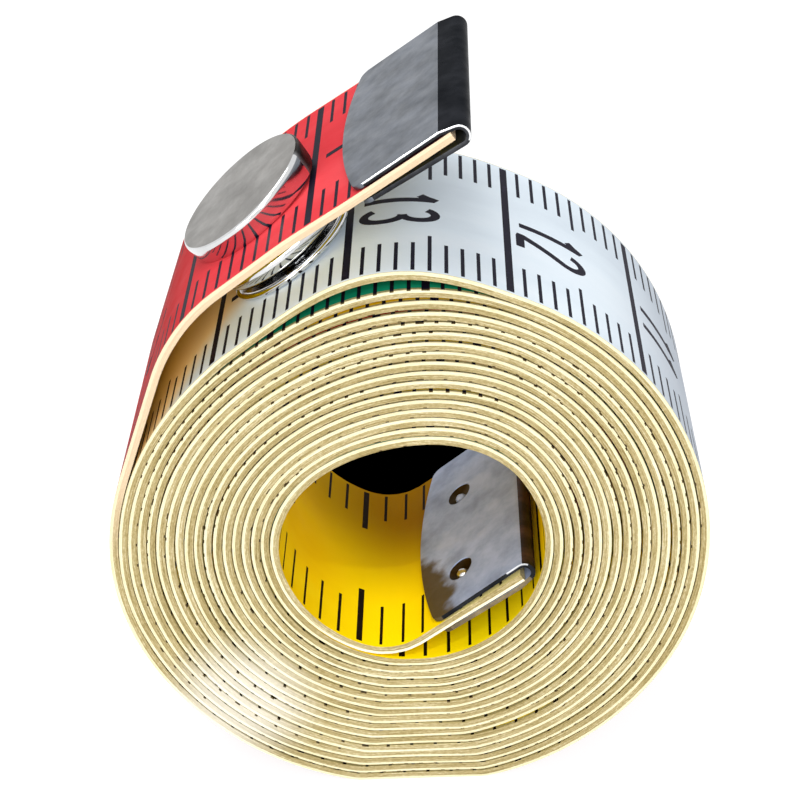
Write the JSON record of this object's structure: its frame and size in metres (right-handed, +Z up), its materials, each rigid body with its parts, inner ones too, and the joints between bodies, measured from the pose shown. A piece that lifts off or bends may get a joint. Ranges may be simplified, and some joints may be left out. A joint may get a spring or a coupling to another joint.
{
  "type": "cloth tape measure",
  "caption": "Coated cloth tape measure, rolled up and held by a metal snap fastener, its clipped outer end lifted over the roll as a pull tab and its inner end lying in the centre hole.",
  "frame": {"origin": "middle of the flat under the roll that it stands on", "axes": "+X to the right in the front view, where the pull tab points up and to the right; +Y along the roll's axis, away from the front; +Z up"},
  "size_m": [0.0383, 0.019, 0.0474],
  "materials": {
    "printed_tape": "satin",
    "red_tape": "satin",
    "yellow_tape": "satin",
    "clip_steel": "satin",
    "cap_steel": "satin",
    "snap_chrome": "polished",
    "spring_wire": "polished"
  },
  "bodies": {
    "roll": {"tape_roll": "printed_tape", "snap_stud": "snap_chrome", "stud_eyelet": "snap_chrome"},
    "flap": {"tape_flap": "red_tape", "outer_end_clip": "clip_steel", "snap_cap": "cap_steel", "snap_socket": "snap_chrome", "socket_ring_spring": "spring_wire"},
    "tail": {"tape_tail": "yellow_tape", "inner_end_clip": "clip_steel"}
  },
  "joints": [
    {"name": "flap_hinge", "type": "hinge", "parent": "roll", "child": "flap", "pos_m": [-0.01523, 0, 0.03173], "axis": [0, -1, 0], "range_deg": [0, 75]},
    {"name": "tail_flex", "type": "hinge", "parent": "roll", "child": "tail", "pos_m": [0.00058, 0, 0.01118], "axis": [0, -1, 0], "range_deg": [0, 25]}
  ]
}
